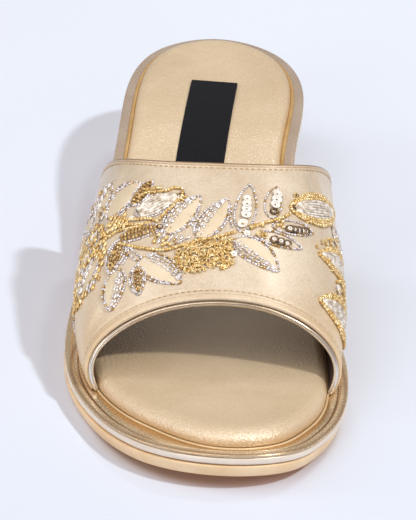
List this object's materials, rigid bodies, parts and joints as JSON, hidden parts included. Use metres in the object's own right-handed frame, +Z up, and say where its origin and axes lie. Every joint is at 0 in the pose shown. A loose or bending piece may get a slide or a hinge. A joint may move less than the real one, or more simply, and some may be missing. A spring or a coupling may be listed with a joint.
{
  "type": "embellished heel",
  "caption": "Open-toe mule on a low block heel: one wide embroidered band over a padded insole, a wrapped platform and a thin outsole.",
  "frame": {"origin": "centre of the shoe's length and width, on the floor that it stands on", "axes": "+Z up; +Y towards the heel, so the toe points to -Y; +X towards the inner side of this right foot"},
  "size_m": [0.0892, 0.25, 0.0582],
  "materials": {
    "outsole": "moulded, peach gold, semi-matt",
    "platform": "metallic foil leather, wrapped, glossy",
    "insole": "champagne sock leather, padded, satin",
    "heel": "metallic foil leather, wrapped, glossy",
    "top_piece": "matt",
    "upper": "champagne metallic leather, fine grain, embroidered",
    "piping": "pearl leather piping",
    "label": "bare black woven satin",
    "silver_embroidery": "coiled silver wire, cut tubes and sequins",
    "gold_embroidery": "amber gold beads and gold thread"
  },
  "bodies": {
    "root": {"outsole": "outsole", "platform": "platform", "insole_pad": "insole", "heel_block": "heel", "heel_top_piece": "top_piece", "upper_band": "upper", "toe_piping": "piping", "insole_label": "label"}
  },
  "joints": []
}
